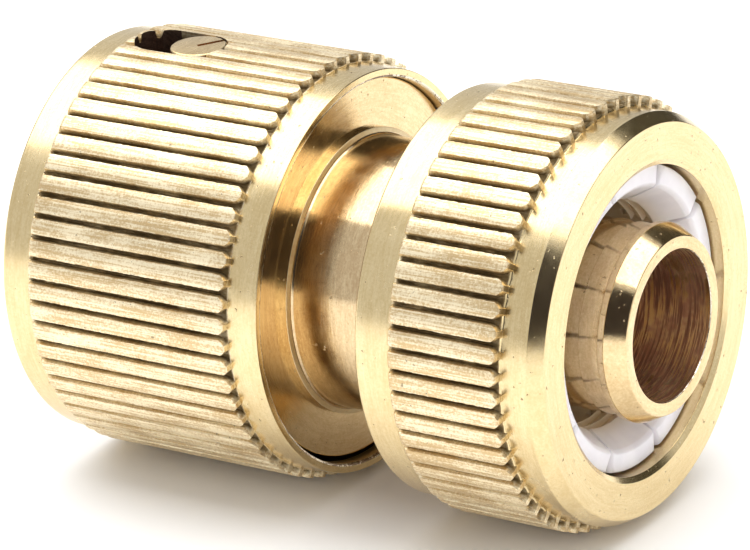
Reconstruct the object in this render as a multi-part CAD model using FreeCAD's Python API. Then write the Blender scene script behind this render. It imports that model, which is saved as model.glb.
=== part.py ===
import FreeCAD, Part
import math
import os

# Garden-hose quick connector, rebuilt piece by piece. Units are millimetres.
# Axes: X along the water way (0 at the socket mouth, + towards the hose end), Z up through the upper claw.

# release sleeve
SLEEVE_LENGTH = 23.1
SLEEVE_BORE_R = 12.1
CHAMBER_START = 12.0
CHAMBER_R = 14.86
SLEEVE_FRONT_R = 15.86
SLEEVE_BACK_R = 15.55
SLEEVE_RIB_START = 2.6
SLEEVE_GROOVE_END = 20.2
SLEEVE_RIB_TIP = 20.7

# ribs, shared by the sleeve and the clamp nut
RIB_COUNT = 61
RIB_CREST_R = 16.4
RIB_EDGE_R = 16.25
GROOVE_R = 15.7
RIB_HALF_WIDTH = 0.6
RIB_FOOT_HALF_WIDTH = 0.74
SLEEVE_RIB_TURN = 3.1
NUT_RIB_TURN = 3.1

# release windows, claws and their cross pins
CLAW_X = 8.7
SLEEVE_TRAVEL = 3.2
CLAW_RISE = 1.9
WINDOW_R = 2.3
CLAW_R = 2.2
CLAW_HOLE_R = 2.25
CLAW_TIP_Z = 7.3
CLAW_HEAD_Z = 16.25
CAM_PIN_R = 0.45
CAM_PIN_Z = 12.6
CAM_PIN_REACH = 2.95
CAM_SLOT_R = 0.49
CAM_SLOT_REACH = 3.05

# socket body
BODY_R = 12.0
MOUTH_R = 10.4
MOUTH_DEPTH = 5.0
THROAT_R = 8.95
SEAL_BORE_R = 8.1
SEAL_BORE_START = 12.9
SEAL_BORE_END = 17.6
REAR_BORE_R = 9.6
FLANGE_START = 19.8
FLANGE_END = 22.23
FLANGE_R = 14.6

# tail body
WATER_R = 5.65
SPIGOT_START = 19.2
SPIGOT_R = 9.58
SHOULDER_START = 22.25
SHOULDER_END = 22.85
SHOULDER_R = 11.03
NECK_ROOT_R = 10.55
NECK_R = 10.4
NECK_TAPER_END = 26.0
THREAD_CORE_R = 11.7
THREAD_CREST_R = 12.6
COLLAR_START = 33.0
COLLAR_END = 38.4
THREAD_PITCH = 2.0
THREAD_START = 33.8
THREAD_TURNS = 2.1
BARB_ROOT_R = 6.95
BARB_EDGE_R = 7.2
BARB_PITCH = 1.8
BARB_COUNT = 4
NOSE_START = 47.45
NOSE_LAND_END = 48.0
NOSE_R = 7.5
TAIL_RIM_R = 6.75
TAIL_END = 49.5

# clamp nut
NUT_BACK = 31.8
NUT_FACE = 47.5
NUT_RECESS_R = 14.9
NUT_RECESS_END = 33.4
NUT_MINOR_R = 11.85
NUT_MAJOR_R = 12.8
NUT_RELIEF_R = 12.9
NUT_RELIEF_START = 38.6
NUT_CONE_START = 40.0
NUT_CONE_START_R = 12.7
NUT_CONE_END = 45.5
NUT_MOUTH_R = 11.67
NUT_RIB_START = 34.9
NUT_GROOVE_END = 43.75
NUT_RIB_TIP = 44.3

# collet, washer and spring
COLLET_START = 38.65
COLLET_RING_END = 40.6
COLLET_TIP = 46.3
COLLET_RING_R = 12.4
COLLET_GAP = 0.15
COLLET_BASE_R = 9.5
COLLET_TOOTH_R = 8.6
COLLET_MOUTH_R = 10.1
FINGER_COUNT = 10
FINGER_SLOT = 0.4
FINGER_TURN = 11.5
WASHER_START = 17.65
WASHER_END = 19.15
WASHER_INNER_R = 6.2
WASHER_OUTER_R = 9.4
SPRING_WIRE_R = 0.55
SPRING_COIL_R = 13.4
SPRING_START = 12.05
SPRING_END = 19.75
SPRING_TURNS = 3.5
SPRING_FLATS = 12

X_AXIS = FreeCAD.Vector(1, 0, 0)
Y_AXIS = FreeCAD.Vector(0, 1, 0)
Z_AXIS = FreeCAD.Vector(0, 0, 1)
ORIGIN = FreeCAD.Vector(0, 0, 0)


def vec(x, y, z):
    return FreeCAD.Vector(x, y, z)


def revolved(points):
    """Solid of revolution about X from a closed list of (x, radius) points."""
    corners = [vec(x, 0, r) for x, r in points]
    wire = Part.makePolygon(corners + [corners[0]])
    return Part.Face(wire).revolve(ORIGIN, X_AXIS, 360)


def prism(points, direction):
    """Solid swept in a straight line from a closed list of vectors."""
    wire = Part.makePolygon(points + [points[0]])
    return Part.Face(wire).extrude(direction)


def turned(shape, degrees):
    copy = shape.copy()
    copy.rotate(ORIGIN, X_AXIS, degrees)
    return copy


def helix_sweep(start, turns, inner_r, outer_r, inner_half, outer_half):
    """Thread-like solid on a right-hand helix about X, trapezium in section."""
    helix = Part.makeLongHelix(THREAD_PITCH, turns * THREAD_PITCH, inner_r)
    section = Part.makePolygon([
        vec(inner_r, 0, -inner_half),
        vec(outer_r, 0, -outer_half),
        vec(outer_r, 0, outer_half),
        vec(inner_r, 0, inner_half),
        vec(inner_r, 0, -inner_half),
    ])
    solid = Part.Wire(helix.Edges).makePipeShell([section], True, True)
    solid.rotate(ORIGIN, Y_AXIS, 90)
    solid.translate(vec(start, 0, 0))
    return solid


def one_rib(start, groove_end, tip):
    """One rib standing at the top: crowned land, steep flanks, pointed run-out at the far end."""
    left = vec(start, -RIB_HALF_WIDTH, RIB_EDGE_R)
    right = vec(start, RIB_HALF_WIDTH, RIB_EDGE_R)
    crown = Part.Arc(left, vec(start, 0, RIB_CREST_R), right).toShape()
    sides = Part.makePolygon([
        right,
        vec(start, RIB_FOOT_HALF_WIDTH, GROOVE_R),
        vec(start, RIB_FOOT_HALF_WIDTH, GROOVE_R - 0.5),
        vec(start, -RIB_FOOT_HALF_WIDTH, GROOVE_R - 0.5),
        vec(start, -RIB_FOOT_HALF_WIDTH, GROOVE_R),
        left,
    ])
    wire = Part.Wire([crown] + sides.Edges)
    bar = Part.Face(wire).extrude(vec(tip + 0.1 - start, 0, 0))
    plan = prism([
        vec(start, -1, 15),
        vec(start, 1, 15),
        vec(groove_end, 1, 15),
        vec(groove_end, 0.82, 15),
        vec(tip, 0.03, 15),
        vec(tip, -0.03, 15),
        vec(groove_end, -0.82, 15),
        vec(groove_end, -1, 15),
    ], vec(0, 0, 3))
    side = prism([
        vec(start, -1, 15),
        vec(start, -1, GROOVE_R + 0.1),
        vec(start + 0.4, -1, RIB_CREST_R + 0.05),
        vec(tip - 0.25, -1, RIB_CREST_R + 0.05),
        vec(tip + 0.05, -1, GROOVE_R + 0.15),
        vec(tip + 0.05, -1, 15),
    ], vec(0, 2, 0))
    return bar.common(plan).common(side)


def with_ribs(blank, start, groove_end, tip, turn):
    rib = one_rib(start, groove_end, tip)
    ribs = [turned(rib, turn + 360.0 * i / RIB_COUNT) for i in range(RIB_COUNT)]
    return blank.multiFuse(ribs)


def obround(x_low, x_high, radius, z_low, z_high):
    """Upright prism with two round ends."""
    height = z_high - z_low
    first = Part.makeCylinder(radius, height, vec(x_low, 0, z_low))
    second = Part.makeCylinder(radius, height, vec(x_high, 0, z_low))
    middle = Part.makeBox(x_high - x_low, 2 * radius, height, vec(x_low, -radius, z_low))
    return first.fuse(second).fuse(middle).removeSplitter()


def cam_slot():
    """Slanted slot that lifts the claw's cross pin as the sleeve is drawn back."""
    low = vec(CLAW_X - SLEEVE_TRAVEL, -CAM_SLOT_REACH, CAM_PIN_Z + CLAW_RISE)
    high = vec(CLAW_X, -CAM_SLOT_REACH, CAM_PIN_Z)
    depth = 2 * CAM_SLOT_REACH
    first = Part.makeCylinder(CAM_SLOT_R, depth, low, Y_AXIS)
    second = Part.makeCylinder(CAM_SLOT_R, depth, high, Y_AXIS)
    run = high.sub(low)
    side = run.cross(Y_AXIS).normalize().multiply(CAM_SLOT_R)
    middle = prism([low + side, high + side, high - side, low - side], vec(0, depth, 0))
    return first.fuse(second).fuse(middle)


def release_sleeve():
    blank = revolved([
        (0.0, SLEEVE_BORE_R + 0.25),
        (0.0, SLEEVE_FRONT_R - 0.25),
        (0.25, SLEEVE_FRONT_R),
        (SLEEVE_RIB_START, SLEEVE_FRONT_R + 0.03),
        (SLEEVE_RIB_START + 0.2, GROOVE_R),
        (SLEEVE_GROOVE_END, GROOVE_R),
        (SLEEVE_RIB_TIP, GROOVE_R + 0.05),
        (SLEEVE_LENGTH - 0.12, SLEEVE_BACK_R),
        (SLEEVE_LENGTH, SLEEVE_BACK_R - 0.12),
        (SLEEVE_LENGTH, CHAMBER_R + 0.1),
        (SLEEVE_LENGTH - 0.1, CHAMBER_R),
        (CHAMBER_START, CHAMBER_R),
        (CHAMBER_START, SLEEVE_BORE_R),
        (0.25, SLEEVE_BORE_R),
    ])
    sleeve = with_ribs(blank, SLEEVE_RIB_START, SLEEVE_GROOVE_END, SLEEVE_RIB_TIP, SLEEVE_RIB_TURN)
    window = obround(CLAW_X - SLEEVE_TRAVEL, CLAW_X, WINDOW_R, -20, 20)
    upper_slot = cam_slot()
    lower_slot = turned(upper_slot, 180)
    return sleeve.cut([window, upper_slot, lower_slot])


def socket_body():
    body = revolved([
        (0.0, MOUTH_R),
        (0.0, BODY_R - 0.2),
        (0.2, BODY_R),
        (FLANGE_START, BODY_R),
        (FLANGE_START, FLANGE_R),
        (FLANGE_END - 0.12, FLANGE_R),
        (FLANGE_END, FLANGE_R - 0.12),
        (FLANGE_END, REAR_BORE_R),
        (SEAL_BORE_END, REAR_BORE_R),
        (SEAL_BORE_END, SEAL_BORE_R),
        (SEAL_BORE_START, SEAL_BORE_R),
        (SEAL_BORE_START - 0.7, THROAT_R),
        (MOUTH_DEPTH + 1.2, THROAT_R),
        (MOUTH_DEPTH, MOUTH_R),
    ])
    hole = Part.makeCylinder(CLAW_HOLE_R, 40, vec(CLAW_X, 0, -20))
    return body.cut(hole)


def tail_body():
    points = [
        (SPIGOT_START, WATER_R),
        (SPIGOT_START, SPIGOT_R - 0.2),
        (SPIGOT_START + 0.2, SPIGOT_R),
        (SHOULDER_START, SPIGOT_R),
        (SHOULDER_START, SHOULDER_R),
        (SHOULDER_END - 0.12, SHOULDER_R),
        (SHOULDER_END, SHOULDER_R - 0.12),
        (SHOULDER_END, NECK_ROOT_R),
        (NECK_TAPER_END, NECK_R),
        (COLLAR_START - 1.0, NECK_R),
        (COLLAR_START, THREAD_CORE_R),
        (COLLAR_END, THREAD_CORE_R),
        (COLLAR_END, BARB_ROOT_R),
    ]
    points += barbs()
    points += [
        (NOSE_START, NOSE_R),
        (NOSE_LAND_END, NOSE_R),
        (TAIL_END - 0.05, TAIL_RIM_R),
        (TAIL_END, TAIL_RIM_R - 0.05),
        (TAIL_END, WATER_R + 0.15),
        (TAIL_END - 0.15, WATER_R),
    ]
    core = revolved(points)
    thread = helix_sweep(THREAD_START, THREAD_TURNS, THREAD_CORE_R - 0.2, THREAD_CREST_R, 0.617, 0.25)
    return core.fuse(thread)


def barbs():
    """Saw teeth that hold the hose: low towards the hose end, sharp on the neck side."""
    points = []
    first = NOSE_START - BARB_COUNT * BARB_PITCH
    for i in range(BARB_COUNT):
        x = first + i * BARB_PITCH
        points.append((x, BARB_ROOT_R))
        points.append((x + 0.05, BARB_EDGE_R))
    points.append((NOSE_START - 0.02, BARB_ROOT_R))
    return points


def clamp_nut():
    blank = revolved([
        (NUT_BACK, NUT_RECESS_R),
        (NUT_BACK, 15.4),
        (NUT_BACK + 0.25, 15.65),
        (NUT_RIB_START, GROOVE_R),
        (NUT_GROOVE_END, GROOVE_R),
        (NUT_RIB_TIP, 15.45),
        (46.4, 15.5),
        (NUT_FACE - 0.1, 14.95),
        (NUT_FACE, 14.85),
        (NUT_FACE, NUT_MOUTH_R + 0.43),
        (NUT_FACE - 0.3, NUT_MOUTH_R),
        (NUT_CONE_END, NUT_MOUTH_R),
        (NUT_CONE_START, NUT_CONE_START_R),
        (NUT_RELIEF_START + 0.2, NUT_RELIEF_R),
        (NUT_RELIEF_START, NUT_RELIEF_R),
        (NUT_RELIEF_START, NUT_MINOR_R),
        (NUT_RECESS_END + 0.5, NUT_MINOR_R),
        (NUT_RECESS_END, NUT_MINOR_R + 0.6),
        (NUT_RECESS_END, NUT_RECESS_R),
    ])
    nut = with_ribs(blank, NUT_RIB_START, NUT_GROOVE_END, NUT_RIB_TIP, NUT_RIB_TURN)
    groove_start = THREAD_START - THREAD_PITCH
    groove = helix_sweep(groove_start, 3.45, NUT_MINOR_R - 0.2, NUT_MAJOR_R, 0.7, 0.33)
    return nut.cut(groove)


def hose_collet():
    def cone_r(x):
        slope = (NUT_CONE_START_R - NUT_MOUTH_R) / (NUT_CONE_END - NUT_CONE_START)
        return NUT_CONE_START_R - slope * (x - NUT_CONE_START) - COLLET_GAP
    blank = revolved([
        (COLLET_START, COLLET_BASE_R - 0.4),
        (COLLET_START, COLLET_RING_R),
        (COLLET_RING_END, COLLET_RING_R),
        (NUT_CONE_END, cone_r(NUT_CONE_END)),
        (COLLET_TIP - 0.2, cone_r(NUT_CONE_END)),
        (COLLET_TIP, cone_r(NUT_CONE_END) - 0.2),
        (COLLET_TIP, COLLET_MOUTH_R),
        (COLLET_TIP - 2.4, COLLET_TOOTH_R),
        (COLLET_TIP - 3.3, COLLET_TOOTH_R + 0.5),
        (COLLET_TIP - 3.35, COLLET_TOOTH_R),
        (COLLET_TIP - 4.3, COLLET_TOOTH_R + 0.5),
        (COLLET_TIP - 4.35, COLLET_TOOTH_R),
        (COLLET_TIP - 5.0, COLLET_BASE_R),
    ])
    slot = Part.makeBox(COLLET_TIP - COLLET_RING_END + 1, FINGER_SLOT, 8, vec(COLLET_RING_END, -FINGER_SLOT / 2, 6))
    slots = [turned(slot, FINGER_TURN + 360.0 * i / FINGER_COUNT) for i in range(FINGER_COUNT)]
    return blank.cut(slots)


def socket_washer():
    return revolved([
        (WASHER_START, WASHER_INNER_R),
        (WASHER_START, WASHER_OUTER_R),
        (WASHER_END, WASHER_OUTER_R),
        (WASHER_END, WASHER_INNER_R),
    ])


def release_spring():
    """Open coil between the sleeve's inner shoulder and the flange, its wire drawn with twelve flats."""
    height = SPRING_END - SPRING_START - 2 * SPRING_WIRE_R
    helix = Part.makeLongHelix(height / SPRING_TURNS, height, SPRING_COIL_R)
    outline = []
    for i in range(SPRING_FLATS + 1):
        a = 2 * math.pi * i / SPRING_FLATS
        outline.append(vec(SPRING_COIL_R + SPRING_WIRE_R * math.cos(a), 0, SPRING_WIRE_R * math.sin(a)))
    section = Part.makePolygon(outline)
    spring = Part.Wire(helix.Edges).makePipeShell([section], True, True)
    spring.rotate(ORIGIN, Y_AXIS, 90)
    spring.translate(vec(SPRING_START + SPRING_WIRE_R, 0, 0))
    return spring


def claw_pin():
    return Part.makeCylinder(CAM_PIN_R, 2 * CAM_PIN_REACH, vec(CLAW_X, -CAM_PIN_REACH, CAM_PIN_Z), Y_AXIS)


def claw():
    """Round pin that grips the spigot's groove; its tip is sloped on the mouth side."""
    length = CLAW_HEAD_Z - CLAW_TIP_Z
    pin = Part.makeCylinder(CLAW_R, length, vec(CLAW_X, 0, CLAW_TIP_Z))
    rim = pin.Edges[0]
    for edge in pin.Edges:
        if edge.Closed and abs(edge.CenterOfMass.z - CLAW_HEAD_Z) < 0.01:
            rim = edge
    pin = pin.makeChamfer(0.15, [rim])
    slope = prism([
        vec(CLAW_X - CLAW_R - 0.5, -3, CLAW_TIP_Z - 0.5),
        vec(CLAW_X - CLAW_R - 0.5, -3, CLAW_TIP_Z + 2.3),
        vec(CLAW_X + 0.7, -3, CLAW_TIP_Z - 0.5),
    ], vec(0, 6, 0))
    cross_hole = Part.makeCylinder(CAM_PIN_R, 6, vec(CLAW_X, -3, CAM_PIN_Z), Y_AXIS)
    nick = Part.makeBox(0.3, 3, 1, vec(CLAW_X - 0.15, 0, CLAW_HEAD_Z - 0.3))
    nick.rotate(vec(CLAW_X, 0, 0), Z_AXIS, -45)
    return pin.cut([slope, cross_hole, nick])


def save(shape, node):
    shape = shape.removeSplitter()
    if len(shape.Solids) != 1 or not shape.isValid():
        raise ValueError(node + " is not one valid solid")
    shape.Solids[0].exportStep("parts/" + node + ".step")


def main():
    os.makedirs("parts", exist_ok=True)
    save(release_sleeve(), "release_sleeve")
    save(socket_body(), "socket_body")
    save(tail_body(), "tail_body")
    save(clamp_nut(), "clamp_nut")
    save(hose_collet(), "hose_collet")
    save(socket_washer(), "socket_washer")
    save(release_spring(), "release_spring")
    save(claw(), "upper_claw")
    save(turned(claw(), 180), "lower_claw")
    save(claw_pin(), "upper_claw_pin")
    save(turned(claw_pin(), 180), "lower_claw_pin")


main()
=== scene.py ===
import bpy
import bmesh
import math
import numpy as np
from mathutils import Matrix, Vector


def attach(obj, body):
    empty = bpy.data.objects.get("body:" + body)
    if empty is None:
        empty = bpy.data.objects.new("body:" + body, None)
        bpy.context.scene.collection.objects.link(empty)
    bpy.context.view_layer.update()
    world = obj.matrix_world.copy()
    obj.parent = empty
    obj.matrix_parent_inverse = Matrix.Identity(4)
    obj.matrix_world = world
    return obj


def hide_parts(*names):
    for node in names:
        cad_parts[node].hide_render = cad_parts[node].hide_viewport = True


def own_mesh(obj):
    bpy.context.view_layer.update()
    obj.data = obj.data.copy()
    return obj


# Brass hose quick connector. Lengths below are millimetres and become metres in the meshes.
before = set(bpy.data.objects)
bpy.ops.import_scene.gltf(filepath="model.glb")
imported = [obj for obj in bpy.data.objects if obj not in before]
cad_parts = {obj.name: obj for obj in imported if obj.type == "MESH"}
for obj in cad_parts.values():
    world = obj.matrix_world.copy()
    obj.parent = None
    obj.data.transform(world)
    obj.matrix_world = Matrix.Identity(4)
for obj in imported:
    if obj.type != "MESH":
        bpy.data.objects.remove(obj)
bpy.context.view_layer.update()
MM = 0.001
X_AXIS = (1, 0, 0)
Y_AXIS = (0, 1, 0)
Z_AXIS = (0, 0, 1)
# half length of a cutter that goes right through, and the angles in degrees over which edges stay crisp
THROUGH = 20
PIECE_SHARP = 32.0
RING_SHARP = 40.0
CLAW_SHARP = 35.0
FINGER_SHARP = 45.0
COIL_SHARP = 50.0

# ribs: count, radii, half widths along the arc, rounding of the crest, angle of the first in degrees
RIBS = 61
CREST = 16.4
GROOVE = 15.7
HALF_PITCH = math.pi * CREST / RIBS
LAND = 0.6
FOOT = 0.74
DROP = 0.06
RIB_TURN = 3.1
RIB_STEP = 0.22
RIB_WAVER = 0.014

# release sleeve, its window and the slanted slots of the cross pins
SLEEVE_LENGTH = 23.1
SLEEVE_BORE_R = 12.1
CHAMBER_START = 12.0
CHAMBER_R = 14.86
SLEEVE_RIB_START = 2.6
SLEEVE_GROOVE_END = 20.2
SLEEVE_RIB_TIP = 20.66
LIP_START = 21.9
WINDOW_X = 7.1
WINDOW_HALF = 1.6
WINDOW_R = 2.3
SLEEVE_TRAVEL = 3.2
CLAW_RISE = 1.9
PIN_SLOT_R = 0.49
PIN_SLOT_REACH = 3.05
PIN_SLOT_Z = 13.55

# socket body
BODY_R = 12.0
MOUTH_R = 10.4
MOUTH_DEPTH = 5.0
THROAT_R = 8.95
SEAL_BORE_R = 8.1
REAR_BORE_R = 9.6
FLANGE_START = 19.8
FLANGE_END = 22.23
FLANGE_R = 14.6
FLANGE_LIFT = 0.2
CLAW_X = 8.7
CLAW_HOLE_R = 2.25

# tail body
WATER_R = 5.65
SPIGOT_R = 9.58
SHOULDER_R = 11.03
NECK_R = 10.4
COLLAR_R = 11.7
COLLAR_END = 38.4
THREAD_CREST_R = 12.6
THREAD_PITCH = 2.0
THREAD_X0 = 33.8
THREAD_STEP = 0.13
THREAD_FADE = 0.4
THREAD_START = 34.0
THREAD_END = 37.8
BARB_ROOT_R = 6.95
BARB_EDGE_R = 7.2
BARB_PITCH = 1.8
BARBS = 4
NOSE_START = 47.45
NOSE_R = 7.5
TAIL_END = 49.5

# clamp nut
NUT_BACK = 31.8
NUT_FACE = 47.5
NUT_BACK_R = 15.65
NUT_FRONT_R = 15.5
NUT_RECESS_R = 14.9
NUT_RECESS_END = 33.4
NUT_MINOR_R = 11.85
NUT_MAJOR_R = 12.8
NUT_RELIEF_R = 12.9
NUT_MOUTH_R = 11.67
NUT_RIB_START = 34.9
NUT_GROOVE_END = 43.78
NUT_RIB_TIP = 44.24
CONE_START = 40.0
CONE_END = 45.5
CONE_START_R = 12.7
CONE = (CONE_START_R - NUT_MOUTH_R) / (CONE_END - CONE_START)

# collet
COLLET_START = 38.65
COLLET_RING_END = 40.6
COLLET_RING_R = 12.4
COLLET_TIP = 46.3
COLLET_GAP = 0.15
FINGERS = 10
FINGER_TURN = 11.5

# claws: below CLAW_SHADE_Z their sides, down in the window and the body's hole, are coppery and darkened
# with painted shade, and the scratch's cutter goes from SCRATCH_Z up
CLAW_R = 2.2
CLAW_TIP_Z = 7.3
CLAW_HEAD_Z = 16.25
CLAW_SHADE_Z = 16.0
SCRATCH_Z = 15.85
SCRATCH_TOP = 17.0


# ---------------------------------------------------------------- mesh helpers

def angles(count):
    return np.arange(count) * 2 * math.pi / count


def ring_points(rows):
    """Points in metres of closed rings. A row is (x, angles, r), with one r or one for each column."""
    points = []
    for x, theta, r in rows:
        r = np.broadcast_to(np.asarray(r, float), (len(theta),))
        points.append(np.stack([np.full(len(theta), x), -r * np.sin(theta), r * np.cos(theta)], 1))
    return np.concatenate(points) * MM


def ring_faces(rows, columns):
    """Faces of a ring whose section is the closed loop of its rows."""
    i = np.arange(columns)
    j = (i + 1) % columns
    faces = []
    for k in range(rows):
        a, b = k * columns, ((k + 1) % rows) * columns
        faces.append(np.stack([a + i, a + j, b + j, b + i], 1))
    return np.concatenate(faces)


def tube_faces(rows, columns):
    """Faces of an open tube of closed rows."""
    faces = []
    for k in range(rows - 1):
        for c in range(columns):
            d = (c + 1) % columns
            faces.append([k * columns + c, k * columns + d, (k + 1) * columns + d, (k + 1) * columns + c])
    return faces


def ring_mesh(name, theta, profile, body, material):
    """Turned ring: its profile is a closed loop of (x, r), all rows at the same angles."""
    rows = [(x, theta, r) for x, r in profile]
    return piece(name, ring_points(rows), ring_faces(len(rows), len(theta)), body, material)


def piece(name, verts, faces, body, material, sharp=PIECE_SHARP):
    """One visible piece riding on a body; edges sharper than the angle stay crisp."""
    mesh = bpy.data.meshes.new(name)
    mesh.from_pydata([tuple(v) for v in verts], [], [tuple(int(q) for q in f) for f in faces])
    mesh.validate()
    bm = bmesh.new()
    bm.from_mesh(mesh)
    bmesh.ops.recalc_face_normals(bm, faces=bm.faces)
    bm.to_mesh(mesh)
    bm.free()
    obj = bpy.data.objects.new(name, mesh)
    bpy.context.scene.collection.objects.link(obj)
    finish_piece(obj, material, sharp)
    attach(obj, body)
    return obj


def finish_piece(obj, material, sharp=PIECE_SHARP):
    """Sets the material, the smoothing and the slot, again after a boolean has remade the mesh."""
    mesh = obj.data
    mesh.materials.clear()
    mesh.materials.append(material)
    mesh.polygons.foreach_set("use_smooth", [True] * len(mesh.polygons))
    mesh.set_sharp_from_angle(angle=math.radians(sharp))


def rounded(corners, steps=3):
    """Profile loop with each corner (x, r, radius) eased."""
    out = []
    n = len(corners)
    for k in range(n):
        p = np.array(corners[k][:2], float)
        a = np.array(corners[k - 1][:2], float)
        b = np.array(corners[(k + 1) % n][:2], float)
        rad = corners[k][2]
        da, db = a - p, b - p
        la, lb = np.linalg.norm(da), np.linalg.norm(db)
        da, db = da / la, db / lb
        turn = math.acos(max(-1, min(1, float(da @ db))))
        if rad <= 0 or math.pi - turn < 0.12:
            out.append(tuple(p))
            continue
        cut = min(rad / math.tan(turn / 2), 0.45 * la, 0.45 * lb)
        rad = cut * math.tan(turn / 2)
        bis = (da + db) / np.linalg.norm(da + db)
        centre = p + bis * (rad / math.sin(turn / 2))
        s, e = p + da * cut, p + db * cut
        a0 = math.atan2(*(s - centre)[::-1])
        a1 = math.atan2(*(e - centre)[::-1])
        d = (a1 - a0 + math.pi) % (2 * math.pi) - math.pi
        if la > 6 * cut:
            out.append(tuple(s + da * min(0.5 * cut, 0.05)))
        for q in range(steps + 1):
            t = a0 + d * q / steps
            out.append((centre[0] + rad * math.cos(t), centre[1] + rad * math.sin(t)))
        if lb > 6 * cut:
            out.append(tuple(e + db * min(0.5 * cut, 0.05)))
    return out


def boolean(obj, cutter):
    """Cuts the cutter out of the object and removes it."""
    mod = obj.modifiers.new("cut", "BOOLEAN")
    mod.operation = "DIFFERENCE"
    mod.object = cutter
    mod.solver = "EXACT"
    bpy.context.view_layer.update()
    dg = bpy.context.evaluated_depsgraph_get()
    mesh = bpy.data.meshes.new_from_object(obj.evaluated_get(dg))
    obj.modifiers.clear()
    old = obj.data
    obj.data = mesh
    bpy.data.meshes.remove(old)
    bpy.data.objects.remove(cutter)


def prism_obj(outline, axis_x, axis_y, axis_n, origin, low, high):
    """Straight prism: outline in the plane axis_x, axis_y; swept along axis_n from low to high."""
    ax, ay, an, o = (np.array(v, float) for v in (axis_x, axis_y, axis_n, origin))
    pts = np.array(outline, float)
    flat = o + pts[:, :1] * ax + pts[:, 1:] * ay
    verts = np.concatenate([flat + an * low, flat + an * high]) * MM
    n = len(pts)
    faces = [list(range(n - 1, -1, -1)), list(range(n, 2 * n))]
    faces += [[k, (k + 1) % n, n + (k + 1) % n, n + k] for k in range(n)]
    mesh = bpy.data.meshes.new("cutter")
    mesh.from_pydata([tuple(v) for v in verts], [], faces)
    bm = bmesh.new()
    bm.from_mesh(mesh)
    bmesh.ops.recalc_face_normals(bm, faces=bm.faces)
    bm.to_mesh(mesh)
    bm.free()
    obj = bpy.data.objects.new("cutter", mesh)
    bpy.context.scene.collection.objects.link(obj)
    return obj


def obround(half, radius, steps=14):
    """Outline of a slot along its first axis, ends at plus and minus half."""
    pts = []
    for side in (1, -1):
        for k in range(steps + 1):
            a = -math.pi / 2 + math.pi * k / steps
            pts.append((side * (half + radius * math.cos(a)), side * radius * math.sin(a)))
    return pts


# ---------------------------------------------------------------- ribbed rings

# places across half a rib: 0 is the crest's middle, 1 the land's edge, 2 the groove's middle
LAND_EDGE = 1.0
SHOULDER = 1.12
FLANK = 1.4
FLANK_FOOT = 1.7
GROOVE_MIDDLE = 2.0
# least half width of a land and of its flank, and how far the foot stays off the groove's middle
LEAST_LAND = 0.002
LEAST_FLANK = 0.05
FOOT_CLEAR = 0.03
# at the front the crests rise over these distances, as (distance, share of the height)
FRONT_RISE = [(0.0, 0.0), (0.03, 0.12), (0.1, 0.45), (0.2, 0.8), (0.32, 0.95), (0.5, 1.0)]
FIRST_ROW = 0.7
LAST_ROW = 0.15
# at the back the lands narrow over these shares of the way to the tip, then drop to the band
BACK_SHARES = (0.0, 0.3, 0.5, 0.7, 0.85, 0.96, 1.0)
BACK_DROP = ((0.02, 0.07), (0.05, 0.4), (0.08, 1.0))
NARROWING = 0.4
TIP_LAND = 0.2
TIP_FOOT = 0.29


def rib_columns():
    """Columns of one rib, as (side, place)."""
    places = [0.0, 0.45, 0.8, LAND_EDGE, SHOULDER, FLANK, FLANK_FOOT, GROOVE_MIDDLE]
    side = []
    for p in places[1:-1][::-1]:
        side.append((-1, p))
    side.append((0, 0.0))
    for p in places[1:]:
        side.append((1, p))
    return side


SIDE = rib_columns()


def rib_row(width, foot, base, top, edge_drop=DROP, seed=None, jitter=0.0):
    """Offsets (mm along the arc) and radii of one row of columns for all ribs."""
    rng = np.random.default_rng(seed)
    offs, rads = [], []
    noise = rng.normal(0, jitter, (RIBS, 2)) if jitter else np.zeros((RIBS, 2))
    for k in range(RIBS):
        for sgn, p in SIDE:
            w = max(width + noise[k, 0 if sgn < 0 else 1], LEAST_LAND)
            f = max(foot, w + LEAST_FLANK)
            if p <= LAND_EDGE:
                u = p * w
                r = top - edge_drop * (u / LAND) ** 2
            elif p == SHOULDER:
                u = w + 0.015
                r = top - edge_drop * (w / LAND) ** 2 - 0.05 * (top - base)
            elif p == FLANK:
                u = w + 0.5 * (f - w)
                r = base + 0.45 * (top - base)
            elif p == FLANK_FOOT:
                u = min(f, HALF_PITCH - FOOT_CLEAR)
                r = base + 0.07 * (top - base)
            else:
                u = HALF_PITCH
                r = base
            offs.append(k * 2 * HALF_PITCH + sgn * u)
            rads.append(min(r, top))
    return np.array(offs), np.array(rads)


def plain_offsets():
    """Offsets of the columns where the ring is plain."""
    return rib_row(LAND, FOOT, GROOVE, CREST)[0]


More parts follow.
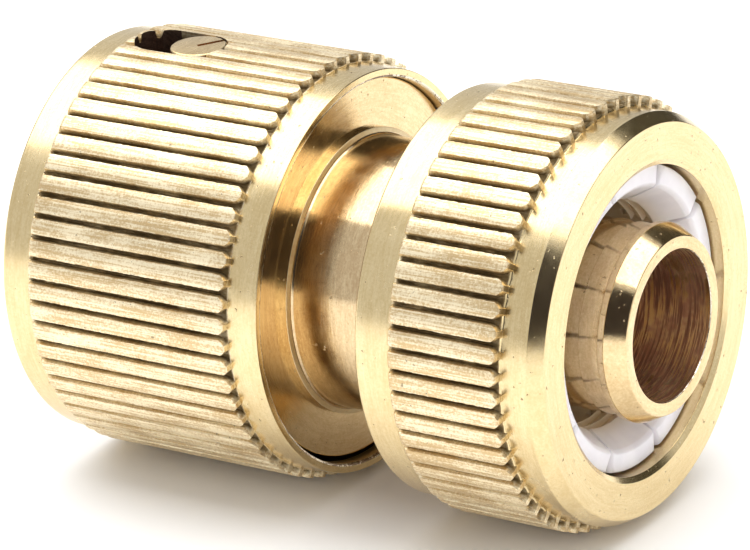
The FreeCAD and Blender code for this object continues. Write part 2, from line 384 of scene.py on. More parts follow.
def ribbed_ring(name, body, front, start, groove_end, tip, back, seed):
    """Closed ring: front rows, ribbed zone, back rows. Only the ribbed rows vary along the angle."""
    plain = plain_offsets()
    rows = []
    to_theta = 1.0 / CREST
    phase = math.radians(RIB_TURN)

    def add(x, offs, r):
        rows.append((x, offs * to_theta + phase, r))

    for x, r in front:
        add(x, plain, r)
    edge_r = front[-1][1]
    for dx, share in FRONT_RISE:
        top = edge_r + 0.01 + (CREST - edge_r - 0.01) * share
        base = edge_r if dx == 0.0 else max(GROOVE, edge_r - 0.9 * dx)
        offs, r = rib_row(LAND, FOOT, base, top, DROP * share)
        add(start + dx, offs, r)
    x = start + FIRST_ROW
    while x < groove_end - LAST_ROW:
        offs, r = rib_row(LAND, FOOT, GROOVE, CREST, DROP, seed, RIB_WAVER)
        add(x, offs, r)
        x += RIB_STEP
        seed += 1
    span = tip - groove_end
    back_r = back[0][1]
    for share in BACK_SHARES:
        half = LAND - NARROWING * share ** 1.5
        base = GROOVE + (back_r - GROOVE) * max(0.0, (share - 0.7) / 0.3)
        offs, r = rib_row(half, half + 0.1, base, CREST - 0.03 * share ** 4)
        add(groove_end + span * share, offs, r)
    for dx, drop in BACK_DROP:
        offs, r = rib_row(TIP_LAND, TIP_FOOT, back_r, CREST - drop * (CREST - back_r - 0.01))
        add(tip + dx, offs, r)
    for x, r in back:
        add(x, plain, r)

    verts, faces = ring_points(rows), ring_faces(len(rows), len(plain))
    return piece(name, verts, faces, body, brass_band, RING_SHARP)


def repaint(obj, material, x_low, x_high, r_low, r_high):
    """Gives the faces between two stations and two radii their own material."""
    obj.data.materials.append(material)
    last = len(obj.data.materials) - 1
    for face in obj.data.polygons:
        c = face.center / MM
        inside = x_low < c.x < x_high and r_low < math.hypot(c.y, c.z) < r_high
        if inside and face.material_index == 0:
            face.material_index = last


# ---------------------------------------------------------------- materials

class Nodes:
    """A material and short ways to add and join its nodes."""

    def __init__(self, name):
        self.mat = bpy.data.materials.new(name)
        self.mat.use_nodes = True
        self.tree = self.mat.node_tree
        self.bsdf = self.tree.nodes["Principled BSDF"]

    def new(self, kind, **values):
        node = self.tree.nodes.new(kind)
        for key, value in values.items():
            setattr(node, key, value)
        return node

    def link(self, a, b):
        self.tree.links.new(a, b)

    def math(self, op, a, b=0.0):
        node = self.new("ShaderNodeMath", operation=op)
        for k, v in enumerate((a, b)):
            if isinstance(v, (int, float)):
                node.inputs[k].default_value = v
            else:
                self.link(v, node.inputs[k])
        return node.outputs[0]

    def ramp(self, value, low, high, out_low=0.0, out_high=1.0):
        node = self.new("ShaderNodeMapRange", clamp=True, interpolation_type="SMOOTHSTEP")
        self.link(value, node.inputs["Value"])
        node.inputs["From Min"].default_value = low
        node.inputs["From Max"].default_value = high
        node.inputs["To Min"].default_value = out_low
        node.inputs["To Max"].default_value = out_high
        return node.outputs["Result"]

    def mix(self, share, a, b):
        node = self.new("ShaderNodeMix", data_type="RGBA")
        for key, v in (("Factor", share), ("A", a), ("B", b)):
            named = [s for s in node.inputs if s.name == key and s.enabled]
            target = next(s for s in named if key == "Factor" or s.type == "RGBA")
            if isinstance(v, tuple):
                target.default_value = (*v, 1.0)
            else:
                self.link(v, target)
        return next(s for s in node.outputs if s.type == "RGBA")

    def noise(self, vector, scale, detail=2.0, rough=0.5):
        node = self.new("ShaderNodeTexNoise")
        self.link(vector, node.inputs["Vector"])
        node.inputs["Scale"].default_value = scale
        node.inputs["Detail"].default_value = detail
        node.inputs["Roughness"].default_value = rough
        return node.outputs["Fac"]

    def combine(self, x, y, z):
        node = self.new("ShaderNodeCombineXYZ")
        for k, v in enumerate((x, y, z)):
            if isinstance(v, (int, float)):
                node.inputs[k].default_value = v
            else:
                self.link(v, node.inputs[k])
        return node.outputs[0]

    def bump(self, height, strength, distance, after=None):
        node = self.new("ShaderNodeBump")
        node.inputs["Strength"].default_value = strength
        node.inputs["Distance"].default_value = distance
        self.link(height, node.inputs["Height"])
        if after is not None:
            self.link(after, node.inputs["Normal"])
        return node.outputs[0]


DIRT_AND_SHADE = (0.17, 0.12, 0.055)
PIT_BROWN = (0.16, 0.10, 0.05)
NYLON_PAINTED_BOUNCE = (0.90, 0.78, 0.60)
# in metres: how far lathe and tool marks run on, the stations between which lines run along the ribs,
# the radii between which the grooves' grime and painted shade fade out, and the stations between which the
# nylon's painted warm bounce light fades out
LATHE_REACH = 0.0016
TOOL_REACH = 0.00028
SLEEVE_LINES = (0.0027, 0.0207)
NUT_LINES = (0.035, 0.0443)
DIRT_AND_SHADE_RADII = (0.01576, 0.01622)
BOUNCE_LIGHT_STATIONS = (0.0425, 0.0452)


def place_of(n):
    """The point in the piece's own metres, and its x, y and z."""
    point = n.new("ShaderNodeTexCoord").outputs["Object"]
    split = n.new("ShaderNodeSeparateXYZ")
    n.link(point, split.inputs[0])
    return point, *split.outputs


def brass(name, base, dark, rough, ribs=None, anis=0.5, turn=0.25, lathe=1.0, pits=1.0, grain=(0.36, 0.66)):
    """Turned brass: fine lathe lines round the axis, lines along the ribs, pits, and grooves darkened by
    grime and painted shade.
    """
    n = Nodes(name)
    point, x, y, z = place_of(n)
    radius = n.math("SQRT", n.math("ADD", n.math("MULTIPLY", y, y), n.math("MULTIPLY", z, z)))
    angle = n.math("ARCTAN2", y, z)
    # lathe marks: quick along the profile, slow round the axis
    cy = n.math("MULTIPLY", n.math("SINE", angle), LATHE_REACH)
    cz = n.math("MULTIPLY", n.math("COSINE", angle), LATHE_REACH)
    along = n.math("ADD", x, n.math("MULTIPLY", radius, 1.37))
    turned = n.combine(along, cy, cz)
    fine = n.noise(turned, 9000.0, 2.0, 0.6)
    coarse = n.noise(turned, 2100.0, 3.0, 0.6)
    lines = n.math("ADD", n.math("MULTIPLY", fine, 0.5), n.math("MULTIPLY", coarse, 0.5))
    height = lines
    # marks along the ribs, from one station to another
    if ribs is not None:
        low, high = ribs
        entry = n.ramp(x, low - 0.0001, low + 0.0002)
        leave = n.ramp(x, high - 0.0002, high + 0.0001, 1.0, 0.0)
        mask = n.math("MULTIPLY", entry, leave)
        straight = n.combine(n.math("MULTIPLY", x, 0.03), y, z)
        axial = n.noise(straight, 6500.0, 4.0, 0.75)
        plain = n.math("MULTIPLY", lines, n.math("SUBTRACT", 1.0, mask))
        height = n.math("ADD", n.math("MULTIPLY", axial, mask), plain)
    blotch = n.noise(point, 260.0, 4.0, 0.6)
    speck = n.noise(point, 2600.0, 2.0, 0.5)
    pit = n.math("MULTIPLY", n.ramp(speck, 0.70, 0.76), pits)
    grit = n.noise(point, 5200.0, 2.0, 0.7)
    tone = n.math("ADD", n.math("MULTIPLY", height, 0.5), n.math("MULTIPLY", blotch, 0.22))
    tone = n.math("ADD", tone, n.math("MULTIPLY", grit, 0.28))
    colour = n.mix(n.ramp(tone, *grain), dark, base)
    colour = n.mix(n.math("MULTIPLY", pit, 0.55), colour, PIT_BROWN)
    worn = n.ramp(blotch, 0.3, 0.7, rough - 0.04, rough + 0.06)
    rough_out = n.math("ADD", worn, n.math("MULTIPLY", pit, 0.2))
    if ribs is not None:
        # the grooves darken towards their bottoms, in patches: grime together with painted shade
        deep = n.math("MULTIPLY", n.ramp(radius, *DIRT_AND_SHADE_RADII, 1.0, 0.0), mask)
        patchiness = n.noise(n.combine(n.math("MULTIPLY", x, 0.35), y, z), 1500.0, 3.0, 0.6)
        deep = n.math("MULTIPLY", deep, n.ramp(patchiness, 0.25, 0.6, 0.55, 1.0))
        colour = n.mix(deep, colour, DIRT_AND_SHADE)
        rough_out = n.math("ADD", rough_out, n.math("MULTIPLY", deep, 0.25))
    n.link(colour, n.bsdf.inputs["Base Color"])
    n.link(rough_out, n.bsdf.inputs["Roughness"])
    n.bsdf.inputs["Metallic"].default_value = 1.0
    n.bsdf.inputs["Anisotropic"].default_value = anis
    n.bsdf.inputs["Anisotropic Rotation"].default_value = turn
    tangent = n.new("ShaderNodeTangent", direction_type="RADIAL", axis="X")
    n.link(tangent.outputs[0], n.bsdf.inputs["Tangent"])
    first = n.bump(height, 0.35 * lathe, 0.00002)
    second = n.bump(n.math("SUBTRACT", 1.0, pit), 0.5, 0.00004, first)
    n.link(second, n.bsdf.inputs["Normal"])
    return n.mat


def bore_metal(name):
    """Drilled water way: dull red brown with shinier rings left by the tool, whose pale colour is partly a
    painted highlight.
    """
    n = Nodes(name)
    point, x, y, z = place_of(n)
    angle = n.math("ARCTAN2", y, z)
    cy = n.math("MULTIPLY", n.math("SINE", angle), TOOL_REACH)
    cz = n.math("MULTIPLY", n.math("COSINE", angle), TOOL_REACH)
    rings = n.noise(n.combine(x, cy, cz), 5200.0, 3.0, 0.7)
    patches = n.noise(point, 420.0, 3.0, 0.6)
    # the tool's rings are shinier, and their pale colour is partly a painted highlight
    bright = n.math("MULTIPLY", n.ramp(rings, 0.46, 0.56), n.ramp(patches, 0.36, 0.52))
    dull = n.mix(n.ramp(rings, 0.35, 0.6), (0.30, 0.14, 0.08), (0.66, 0.36, 0.21))
    n.link(n.mix(bright, dull, (1.0, 0.80, 0.46)), n.bsdf.inputs["Base Color"])
    n.link(n.math("SUBTRACT", 0.5, n.math("MULTIPLY", bright, 0.2)), n.bsdf.inputs["Roughness"])
    n.link(n.math("ADD", 0.75, n.math("MULTIPLY", bright, 0.25)), n.bsdf.inputs["Metallic"])
    n.link(n.bump(rings, 0.6, 0.00004), n.bsdf.inputs["Normal"])
    return n.mat


def plastic(name, colour, shade):
    """Moulded nylon: milky, faint flow marks, a soft sheen, and painted warm bounce light deep inside the
    nut.
    """
    n = Nodes(name)
    point, x = place_of(n)[:2]
    cloud = n.noise(point, 420.0, 3.0, 0.5)
    grain = n.noise(point, 5200.0, 2.0, 0.5)
    milky = n.mix(n.ramp(cloud, 0.3, 0.7), shade, colour)
    # painted warm light bounced off the brass, deep inside the nut
    n.link(n.mix(n.ramp(x, *BOUNCE_LIGHT_STATIONS), NYLON_PAINTED_BOUNCE, milky), n.bsdf.inputs["Base Color"])
    n.link(n.ramp(cloud, 0.3, 0.7, 0.32, 0.44), n.bsdf.inputs["Roughness"])
    n.bsdf.inputs["Subsurface Weight"].default_value = 0.25
    n.bsdf.inputs["Subsurface Radius"].default_value = (0.0012, 0.001, 0.0012)
    n.bsdf.inputs["Subsurface Scale"].default_value = 1.0
    n.link(n.bump(grain, 0.12, 0.00003), n.bsdf.inputs["Normal"])
    return n.mat


def rubber(name):
    """Black rubber with a fine grain."""
    n = Nodes(name)
    coord = n.new("ShaderNodeTexCoord")
    grain = n.noise(coord.outputs["Object"], 3200.0, 3.0, 0.6)
    tone = n.mix(n.ramp(grain, 0.3, 0.7), (0.02, 0.02, 0.02), (0.045, 0.043, 0.042))
    n.link(tone, n.bsdf.inputs["Base Color"])
    n.link(n.ramp(grain, 0.3, 0.7, 0.6, 0.78), n.bsdf.inputs["Roughness"])
    n.link(n.bump(grain, 0.25, 0.00004), n.bsdf.inputs["Normal"])
    return n.mat


def steel(name):
    """Drawn steel with faint streaks."""
    n = Nodes(name)
    coord = n.new("ShaderNodeTexCoord")
    streak = n.noise(coord.outputs["Object"], 2400.0, 3.0, 0.6)
    tone = n.mix(n.ramp(streak, 0.3, 0.7), (0.45, 0.45, 0.46), (0.62, 0.62, 0.63))
    n.link(tone, n.bsdf.inputs["Base Color"])
    n.link(n.ramp(streak, 0.3, 0.7, 0.22, 0.36), n.bsdf.inputs["Roughness"])
    n.bsdf.inputs["Metallic"].default_value = 1.0
    n.link(n.bump(streak, 0.15, 0.00002), n.bsdf.inputs["Normal"])
    return n.mat


GOLD = (0.87, 0.71, 0.42)
GOLD_DARK = (0.72, 0.55, 0.28)
LAND_PALE = (0.97, 0.85, 0.60)
LAND_DARK = (0.66, 0.48, 0.25)
EDGE_PALE = (0.98, 0.84, 0.56)
EDGE_DARK = (0.84, 0.66, 0.38)
NECK_PALE = (0.84, 0.66, 0.40)
NECK_DARK = (0.60, 0.42, 0.23)
CHAMBER_SHADE_PALE = (0.45, 0.32, 0.18)
CHAMBER_SHADE_DARK = (0.22, 0.14, 0.08)
TURNED_PALE = (0.86, 0.68, 0.40)
TURNED_DARK = (0.66, 0.47, 0.24)
CLAW_PALE = (0.84, 0.66, 0.38)
CLAW_DARK = (0.58, 0.42, 0.21)
NICK_PALE = (0.98, 0.92, 0.76)
NICK_DARK = (0.20, 0.13, 0.08)
NYLON_PALE = (0.86, 0.84, 0.88)
NYLON_SHADE = (0.78, 0.76, 0.81)
COPPER_SHADED_PALE = (0.62, 0.33, 0.20)
COPPER_SHADED_DARK = (0.34, 0.16, 0.10)
SHADE_WALL_PALE = (0.20, 0.13, 0.09)
SHADE_WALL_DARK = (0.08, 0.05, 0.04)

rib_look = {"rough": 0.4, "anis": 0.3, "turn": 0.0, "lathe": 1.8}
sleeve_ribs = brass("brass_sleeve_ribs", LAND_PALE, LAND_DARK, ribs=SLEEVE_LINES, grain=(0.43, 0.56),
                    **rib_look)
nut_ribs = brass("brass_nut_ribs", LAND_PALE, LAND_DARK, ribs=NUT_LINES, grain=(0.44, 0.57), **rib_look)
brass_edge = brass("brass_edge", EDGE_PALE, EDGE_DARK, rough=0.45, anis=0.0)
brass_neck = brass("brass_neck", NECK_PALE, NECK_DARK, rough=0.13, anis=0.7, lathe=1.1, pits=0.6)
brass_bore = bore_metal("brass_bore")
# the spring chamber's wall: dark brass as painted shade inside the sleeve
brass_chamber_painted_shade = brass("brass_chamber_painted_shade", CHAMBER_SHADE_PALE, CHAMBER_SHADE_DARK, rough=0.4, anis=0.2, lathe=2.0)
brass_band = brass("brass_band", GOLD, GOLD_DARK, rough=0.22)
brass_turned = brass("brass_turned", TURNED_PALE, TURNED_DARK, rough=0.15, lathe=1.2, pits=0.9)
brass_claw = brass("brass_claw", CLAW_PALE, CLAW_DARK, rough=0.26, anis=0.0, lathe=0.4)
brass_nick = brass("brass_nick", NICK_PALE, NICK_DARK, rough=0.35, anis=0.0, lathe=2.5, grain=(0.475, 0.525))
# the claws' sides in the hole: a coppery tone with painted shade
copper_and_painted_shade = brass("brass_copper_and_painted_shade", COPPER_SHADED_PALE, COPPER_SHADED_DARK, rough=0.42, anis=0.0)
# the window's walls and the barrel under the window: dark brass as painted shade
painted_shade_wall = brass("brass_painted_shade_wall", SHADE_WALL_PALE, SHADE_WALL_DARK, rough=0.55, anis=0.0, lathe=2.0)
nylon = plastic("collet_nylon", NYLON_PALE, NYLON_SHADE)
black_rubber = rubber("washer_rubber")
spring_steel = steel("spring_steel")


# ---------------------------------------------------------------- release sleeve

# the radii between which the ribs' own material lies
RIB_ZONE = (15.6, 17)

sleeve_loop = rounded([
    (21.05, 15.74, 0), (SLEEVE_LENGTH, 15.55, 0.06), (SLEEVE_LENGTH, CHAMBER_R, 0.2),
    (LIP_START, CHAMBER_R, 0), (CHAMBER_START, CHAMBER_R, 0.2), (CHAMBER_START, SLEEVE_BORE_R, 0.1),
    (0.0, SLEEVE_BORE_R, 0.25), (0.0, 15.84, 0.3), (2.4, 15.88, 0), (2.57, 15.885, 0)])
sleeve_front = [p for p in sleeve_loop if p[0] < SLEEVE_RIB_START and p[1] > 15.0]
sleeve_close = [p for p in sleeve_loop if p not in sleeve_front]
sleeve = ribbed_ring("sleeve_ring", "sleeve", sleeve_front, SLEEVE_RIB_START, SLEEVE_GROOVE_END,
                     SLEEVE_RIB_TIP, sleeve_close, seed=11)
window = obround(WINDOW_HALF, WINDOW_R)
boolean(sleeve, prism_obj(window, X_AXIS, Y_AXIS, Z_AXIS, (WINDOW_X, 0, 0), -THROUGH, THROUGH))
# the cross pins' slots slant from the pins' places at rest to their places with the sleeve drawn back
run = Vector((-SLEEVE_TRAVEL, 0, CLAW_RISE))
length = run.length
along = tuple(run.normalized())
across = tuple(Vector(along).cross(Vector(Y_AXIS)))
for sign in (1, -1):
    a = (along[0], 0, along[2] * sign)
    b = (across[0], 0, across[2] * sign)
    middle = (WINDOW_X, 0, sign * PIN_SLOT_Z)
    outline = obround(length / 2, PIN_SLOT_R, 8)
    slot_cut = prism_obj(outline, a, b, Y_AXIS, middle, -PIN_SLOT_REACH, PIN_SLOT_REACH)
    boolean(sleeve, slot_cut)
finish_piece(sleeve, brass_band, RING_SHARP)
repaint(sleeve, sleeve_ribs, SLEEVE_RIB_START, 20.76, *RIB_ZONE)
# painted shade on the spring chamber's wall
repaint(sleeve, brass_chamber_painted_shade, 12.05, LIP_START, 14.8, 15.0)
# painted shade on the window's walls
repaint(sleeve, painted_shade_wall, 3.0, 11.2, 12.3, 15.62)
repaint(sleeve, brass_nick, 22.9, 23.12, 14.8, 15.1)
repaint(sleeve, brass_edge, LIP_START, 22.9, 14.8, 14.95)
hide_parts("release_sleeve")

# ---------------------------------------------------------------- clamp nut

nut_profile = rounded([
    (44.65, NUT_FRONT_R, 0), (46.4, NUT_FRONT_R, 0.12), (NUT_FACE, 14.86, 0.1), (NUT_FACE, 12.1, 0.04),
    (47.2, NUT_MOUTH_R, 0.05), (CONE_END, NUT_MOUTH_R, 0.1), (CONE_START, CONE_START_R, 0.1),
    (38.9, NUT_RELIEF_R, 0.1), (38.52, NUT_RELIEF_R, 0.05)])


def thread_height(x, theta, inner, outer, half_in, half_out):
    """Radius of a right-hand thread whose section is a trapezium."""
    turns = (theta + math.pi) / (2 * math.pi)
    place = (x - THREAD_X0 - THREAD_PITCH * turns) / THREAD_PITCH
    dist = np.abs(place - np.round(place)) * THREAD_PITCH
    share = np.clip((half_in - dist) / (half_in - half_out), 0, 1)
    return inner + (outer - inner) * share


nut_theta = plain_offsets() / CREST + math.radians(RIB_TURN)
nut_thread = []
x = 38.5
while x > 33.9:
    nut_thread.append((x, thread_height(x, nut_theta, NUT_MINOR_R, NUT_MAJOR_R, 0.66, 0.33)))
    x -= THREAD_STEP
nut_back = rounded([
    (33.8, 12.1, 0.1), (NUT_RECESS_END, 12.5, 0.05), (NUT_RECESS_END, NUT_RECESS_R, 0.2),
    (NUT_BACK, NUT_RECESS_R, 0.08), (NUT_BACK, NUT_BACK_R, 0.22), (34.7, GROOVE, 0), (34.87, GROOVE, 0)])
nut_front = [p for p in nut_back if p[1] > 15.2]
nut_close = [p for p in nut_back if p not in nut_front]
nut = ribbed_ring("nut_ring", "nut", nut_front, NUT_RIB_START, NUT_GROOVE_END, NUT_RIB_TIP,
                  nut_profile + nut_thread + nut_close, seed=301)
repaint(nut, nut_ribs, NUT_RIB_START, 44.36, *RIB_ZONE)
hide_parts("clamp_nut")

# ---------------------------------------------------------------- socket body

body_theta = angles(512)
socket_rows = rounded([
    (0.0, MOUTH_R, 0.05), (0.0, BODY_R, 0.2), (3.3, BODY_R, 0), (FLANGE_START, BODY_R, 0.1),
    (FLANGE_START, FLANGE_R, 0.1), (FLANGE_END, FLANGE_R, 0.1), (FLANGE_END, REAR_BORE_R, 0.05),
    (17.6, REAR_BORE_R, 0.05), (17.6, SEAL_BORE_R, 0.05), (12.9, SEAL_BORE_R, 0.1), (12.2, THROAT_R, 0.1),
    (6.2, THROAT_R, 0.1), (MOUTH_DEPTH, MOUTH_R, 0.1)])
# the flange sits a shade high in the sleeve, as the sleeve hangs by its clearance
flange_lift = FLANGE_LIFT * np.cos(body_theta)
socket_rows = [(x, r + flange_lift if r > 14.2 else r) for x, r in socket_rows]
body = ring_mesh("socket_barrel", body_theta, socket_rows, "body", brass_turned)
claw_hole = obround(0.0001, CLAW_HOLE_R, 20)
boolean(body, prism_obj(claw_hole, X_AXIS, Y_AXIS, Z_AXIS, (CLAW_X, 0, 0), -THROUGH, THROUGH))
finish_piece(body, brass_turned)
# painted shade on the barrel's outside, seen through the sleeve's window
repaint(body, painted_shade_wall, 3.3, 19.7, 11.9, 12.05)
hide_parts("socket_body")

# ---------------------------------------------------------------- tail body

neck_rows = rounded([
    (19.2, WATER_R, 0.05), (19.2, SPIGOT_R, 0.2), (22.2, SPIGOT_R, 0), (22.2, SHOULDER_R, 0),
    (22.76, SHOULDER_R, 0.05), (22.88, 10.6, 0.12), (23.05, 10.52, 0.05), (26.0, NECK_R, 0),
    (32.2, NECK_R, 0.5), (33.0, COLLAR_R, 0.1)])
# the thread fades out at both ends, clear of the nut's chamfer and step at every place of the nut
thread_rows = []
x = 33.4
while x < 38.2:
    ends = np.clip(min(x - THREAD_START, THREAD_END - x) / THREAD_FADE, 0, 1)
    h = thread_height(x, body_theta, COLLAR_R, THREAD_CREST_R, 0.55, 0.25)
    thread_rows.append((x, COLLAR_R + (h - COLLAR_R) * ends))
    x += THREAD_STEP
barb = [(COLLAR_END, COLLAR_R, 0.1), (COLLAR_END, BARB_ROOT_R, 0.1)]
for k in range(BARBS):
    x0 = NOSE_START - (BARBS - k) * BARB_PITCH
    barb += [(x0, BARB_ROOT_R, 0.02), (x0 + 0.05, BARB_EDGE_R, 0.04)]
barb += [(47.43, BARB_ROOT_R, 0.02), (NOSE_START, NOSE_R, 0.05), (48.0, NOSE_R, 0.2), (49.45, 6.75, 0.06),
         (TAIL_END, 6.68, 0.03), (TAIL_END, WATER_R, 0.12)]
tail_rows = neck_rows + thread_rows + rounded(barb)
tail = ring_mesh("tail_stem", body_theta, tail_rows, "body", brass_turned)
repaint(tail, brass_edge, 22.72, 22.9, 10.8, 11.1)
repaint(tail, brass_neck, 22.8, 33.1, 10.3, 11.75)
repaint(tail, brass_bore, 19.0, 49.38, 5.5, 5.75)
repaint(tail, brass_nick, 49.38, 49.498, 5.6, 5.775)
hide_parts("tail_body")

# ---------------------------------------------------------------- collet

# funnel and teeth inside a finger, as (x, r), and more stations along it
TEETH = [(COLLET_START, 9.1), (41.2, 9.5), (41.95, 8.6), (42.0, 9.1), (42.95, 8.6), (43.0, 9.1), (43.9, 8.6),
         (44.2, 8.75), (46.0, 9.8), (COLLET_TIP, 10.1)]
STATIONS = [COLLET_START, 39.5, COLLET_RING_END, 41.2, 42.5, 43.5, 44.5, 45.2, 45.45, 45.6, 45.75, 45.88,
            45.98, 46.08, 46.15, 46.21, 46.26, 46.29, COLLET_TIP]
# rounding of a finger's corners seen from the end and seen from the side, and half the gap between fingers
CORNER = 0.75
TIP_ROUND = 0.16
HALF_GAP = 0.05


def cone_r(x):
    """Outer radius of the collet where it follows the nut's cone."""
    return CONE_START_R - CONE * (min(x, CONE_END) - CONE_START) - COLLET_GAP


def finger(index):
    """One thick finger: cone outside, toothed funnel inside, rounded outer corners at the tip."""
    centre = math.radians(FINGER_TURN + 360.0 / FINGERS * (index + 0.5))
    full = math.pi / FINGERS
    tooth_x = [p[0] for p in TEETH]
    tooth_r = [p[1] for p in TEETH]
    xs = sorted(set(STATIONS + tooth_x))
    half_cols = 12
    verts = []
    for x in xs:
        t = min(max(0.0, (x - (COLLET_TIP - CORNER)) / CORNER), 1.0)
        cut = CORNER * (1 - math.sqrt(1 - t * t))
        t = min(max(0.0, (x - COLLET_TIP + TIP_ROUND) / TIP_ROUND), 1.0)
        edge = TIP_ROUND * (1 - math.sqrt(1 - t ** 2))
        outer_r = (cone_r(x) if x > COLLET_RING_END else COLLET_RING_R) - edge
        inner_r = float(np.interp(x, tooth_x, tooth_r))
        inner_r = min(inner_r + 0.5 * edge, outer_r - 0.06)
        out_half = full - (HALF_GAP + cut) / outer_r
        in_half = full - (HALF_GAP + 0.35 * cut + 0.3 * min(1.0, (COLLET_TIP - x) / 2.4)) / inner_r
        for r, half, way in ((outer_r, out_half, 1), (inner_r, in_half, -1)):
            for c in range(half_cols):
                s = way * (-1 + 2 * c / (half_cols - 1))
                th = centre + s * half
                verts.append((x, -r * math.sin(th), r * math.cos(th)))
    ring = 2 * half_cols
    faces = tube_faces(len(xs), ring)
    for k in (0, len(xs) - 1):
        for c in range(half_cols - 1):
            a, b = k * ring + c, k * ring + c + 1
            p, q = k * ring + ring - 1 - c, k * ring + ring - 2 - c
            faces.append([a, b, q, p])
    return np.array(verts) * MM, faces


all_verts, all_faces, base = [], [], 0
for k in range(FINGERS):
    v, f = finger(k)
    all_verts.append(v)
    all_faces += [[q + base for q in face] for face in f]
    base += len(v)
ring_theta = angles(160)
ring_rows = rounded([(COLLET_START, 9.1, 0.1), (COLLET_START, COLLET_RING_R, 0.2),
                     (COLLET_RING_END, COLLET_RING_R, 0.1), (COLLET_RING_END, 9.4, 0.1)])
all_verts.append(ring_points([(x, ring_theta, r) for x, r in ring_rows]))
all_faces += list(ring_faces(len(ring_rows), len(ring_theta)) + base)
all_verts = np.concatenate(all_verts)
collet = piece("collet_fingers", all_verts, all_faces, "collet", nylon, FINGER_SHARP)
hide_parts("hose_collet")

# ---------------------------------------------------------------- claws and pins

def claw_piece(name, sign, body_name, node):
    """Round latch pin with a sloped tip and a scratch across its head."""
    steps = 48
    rows = [(2.02, CLAW_HEAD_Z), (2.1, 16.235), (2.17, 16.18), (CLAW_R, 16.1), (CLAW_R, 13.0), (CLAW_R, 9.6),
            (CLAW_R, 7.4), (2.1, CLAW_TIP_Z)]
    verts = []
    for r, height in rows:
        for c in range(steps):
            a = 2 * math.pi * c / steps
            verts.append((CLAW_X + r * math.cos(a), r * math.sin(a), height))
    faces = tube_faces(len(rows), steps)
    faces.append(list(range(steps)))
    faces.append([(len(rows) - 1) * steps + c for c in range(steps)][::-1])
    verts = np.array(verts) * MM
    verts[:, 2] *= sign
    verts[:, 1] *= sign
    obj = piece(name, verts, faces, body_name, brass_claw, CLAW_SHARP)
    wedge = [(-2.8, -0.6), (-2.8, 2.3), (0.75, -0.6)]
    slope = prism_obj(wedge, X_AXIS, (0, 0, sign), Y_AXIS, (CLAW_X, 0, sign * CLAW_TIP_Z), -3, 3)
    boolean(obj, slope)
    narrow = [(-0.2, -0.1), (0.2, -0.1), (0.2, 3), (-0.2, 3)]
    across_cut = (0.82, -0.57 * sign, 0)
    along_cut = (0.57, 0.82 * sign, 0)
    scratch = prism_obj(narrow, across_cut, along_cut, (0, 0, sign), (CLAW_X, 0, 0), SCRATCH_Z, SCRATCH_TOP)
    boolean(obj, scratch)
    finish_piece(obj, brass_claw, CLAW_SHARP)
    # the sides below the head take a coppery tone with painted shade
    obj.data.materials.append(copper_and_painted_shade)
    for face in obj.data.polygons:
        if abs(face.center.z) < CLAW_SHADE_Z * MM:
            face.material_index = 1
    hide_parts(node)


claw_piece("claw_upper", 1, "upper_latch", "upper_claw")
claw_piece("claw_lower", -1, "lower_latch", "lower_claw")

# ---------------------------------------------------------------- release spring

def coil():
    """Round wire wound between the sleeve's inner shoulder and the flange."""
    wire, mean, turns = 0.55, 13.4, 3.5
    low, high = 12.6, 19.2
    steps, around = 260, 14
    verts = []
    for k in range(steps + 1):
        t = k / steps
        a = math.pi + 2 * math.pi * turns * t
        cx = low + (high - low) * t
        centre = np.array([cx, -mean * math.sin(a), mean * math.cos(a)])
        radial = np.array([0, -math.sin(a), math.cos(a)])
        for c in range(around):
            b = 2 * math.pi * c / around
            verts.append(centre + wire * (math.cos(b) * radial + math.sin(b) * np.array([1.0, 0, 0])))
    faces = tube_faces(steps + 1, around)
    faces.append(list(range(around))[::-1])
    faces.append([steps * around + c for c in range(around)])
    return np.array(verts) * MM, faces


v, f = coil()
spring = piece("spring_coil", v, f, "body", spring_steel, COIL_SHARP)
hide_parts("release_spring")
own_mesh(spring)

plain_nodes = {"socket_washer": black_rubber, "upper_claw_pin": spring_steel, "lower_claw_pin": spring_steel}
for node, material in plain_nodes.items():
    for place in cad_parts[node].material_slots:
        place.material = material

# ---------------------------------------------------------------- stage, light, camera

floor_mesh = bpy.data.meshes.new("floor")
floor_mesh.from_pydata([(-2, -2, 0), (2, -2, 0), (2, 2, 0), (-2, 2, 0)], [], [[0, 1, 2, 3]])
floor = bpy.data.objects.new("floor", floor_mesh)
floor.location = (0, 0, -CREST * MM)
bpy.context.scene.collection.objects.link(floor)
floor_mat = Nodes("floor_pale")
floor_mat.bsdf.inputs["Base Color"].default_value = (0.93, 0.93, 0.93, 1)
floor_mat.bsdf.inputs["Roughness"].default_value = 0.9
floor_mesh.materials.append(floor_mat.mat)


def stand(obj, x, y, z, place):
    """Puts obj at place with its local axes along x, y and z."""
    obj.matrix_world = Matrix(((x.x, y.x, z.x, place[0]), (x.y, y.y, z.y, place[1]),
                               (x.z, y.z, z.z, place[2]), (0, 0, 0, 1)))


def facing(obj, place, normal, x_axis):
    """Puts obj at place with its local Z along normal and its local X as near x_axis as can be."""
    z = Vector(normal).normalized()
    y = z.cross(Vector(x_axis)).normalized()
    stand(obj, y.cross(z), y, z, place)


def area(name, place, towards, x_axis, size_x, size_y, radiance, colour=(1, 1, 1)):
    """Rectangular soft box."""
    data = bpy.data.lights.new(name, "AREA")
    data.shape = "RECTANGLE"
    data.size = size_x
    data.size_y = size_y
    data.energy = radiance * size_x * size_y * math.pi
    data.color = colour
    obj = bpy.data.objects.new(name, data)
    bpy.context.scene.collection.objects.link(obj)
    facing(obj, place, -Vector(towards), x_axis)
    return obj


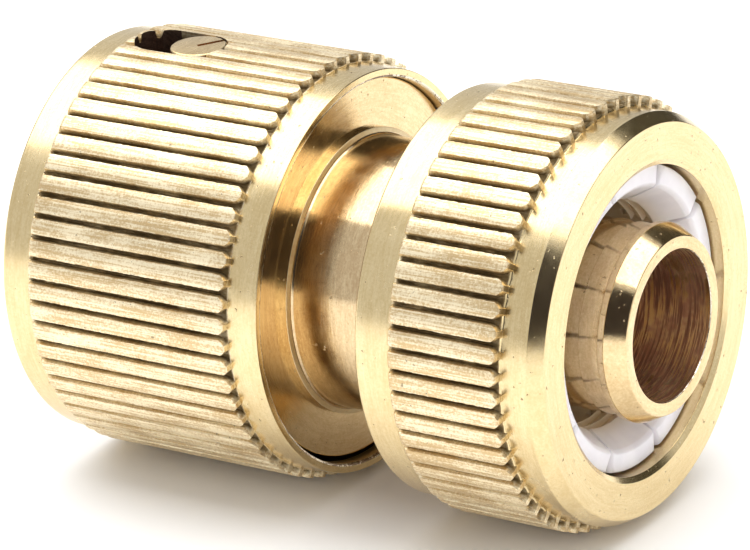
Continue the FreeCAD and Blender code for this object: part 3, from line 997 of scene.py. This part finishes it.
area("top_box", (-0.2, 0.056, 0.6), (0, 0, -1), X_AXIS, 1.4, 0.70, 2.3)
fill = area("end_fill", (0.5, -0.22, 0.28), (-0.9, 0.4, -0.5), Y_AXIS, 0.5, 0.4, 0.9, (1.0, 0.97, 0.95))
fill.visible_glossy = False

world = bpy.context.scene.world or bpy.data.worlds.new("World")
bpy.context.scene.world = world
world.use_nodes = True
background = world.node_tree.nodes["Background"]
background.inputs["Color"].default_value = (1.0, 1.0, 1.0, 1)
background.inputs["Strength"].default_value = 0.75


def card(name, place, towards, x_axis, size_x, size_y, shade):
    """Unseen panel that darkens what the metal mirrors."""
    data = bpy.data.meshes.new(name)
    hx, hy = size_x / 2, size_y / 2
    data.from_pydata([(-hx, -hy, 0), (hx, -hy, 0), (hx, hy, 0), (-hx, hy, 0)], [], [[0, 1, 2, 3]])
    obj = bpy.data.objects.new(name, data)
    bpy.context.scene.collection.objects.link(obj)
    facing(obj, place, Vector(towards), x_axis)
    mat = Nodes(name)
    mat.bsdf.inputs["Base Color"].default_value = (*shade, 1)
    mat.bsdf.inputs["Roughness"].default_value = 1.0
    data.materials.append(mat.mat)
    obj.visible_camera = False
    obj.visible_shadow = False
    obj.visible_diffuse = False


card("front_dark", (0.33, -0.50, 0.35), (-0.555, 0.832, 0), (0.832, 0.555, 0), 0.84, 0.66,
     (0.02, 0.016, 0.018))
card("back_dark", (0.2, 0.6, 0.34), (0, -1, 0), X_AXIS, 0.94, 0.7, (0.04, 0.036, 0.026))

# the camera stands along VIEW from the part's middle, rolled a little and aimed a little off it
VIEW = Vector((0.5137, -0.7697, 0.3791))
LEVEL = Vector((0.7697, 0.5137, 0))
MIDDLE = Vector((0.02931, 0, 0))
DISTANCE = 0.3913
ROLL = math.radians(-3.89)
AIM_RIGHT = 0.01257
AIM_UP = 0.00167
LENS = 249.4

camera_data = bpy.data.cameras.new("camera")
camera = bpy.data.objects.new("camera", camera_data)
bpy.context.scene.collection.objects.link(camera)
bpy.context.scene.camera = camera
camera_data.lens = LENS
camera_data.sensor_width = 36.0
camera_data.clip_start = 0.05
camera_data.clip_end = 20.0
level = LEVEL.normalized()
level_up = VIEW.cross(level).normalized()
right = level * math.cos(ROLL) + level_up * math.sin(ROLL)
up = -level * math.sin(ROLL) + level_up * math.cos(ROLL)
aim = (-VIEW - AIM_RIGHT * right + AIM_UP * up).normalized()
side = aim.cross(up).normalized()
stand(camera, side, side.cross(aim).normalized(), -aim, MIDDLE + VIEW * DISTANCE)
bpy.context.scene.view_settings.view_transform = "Standard"
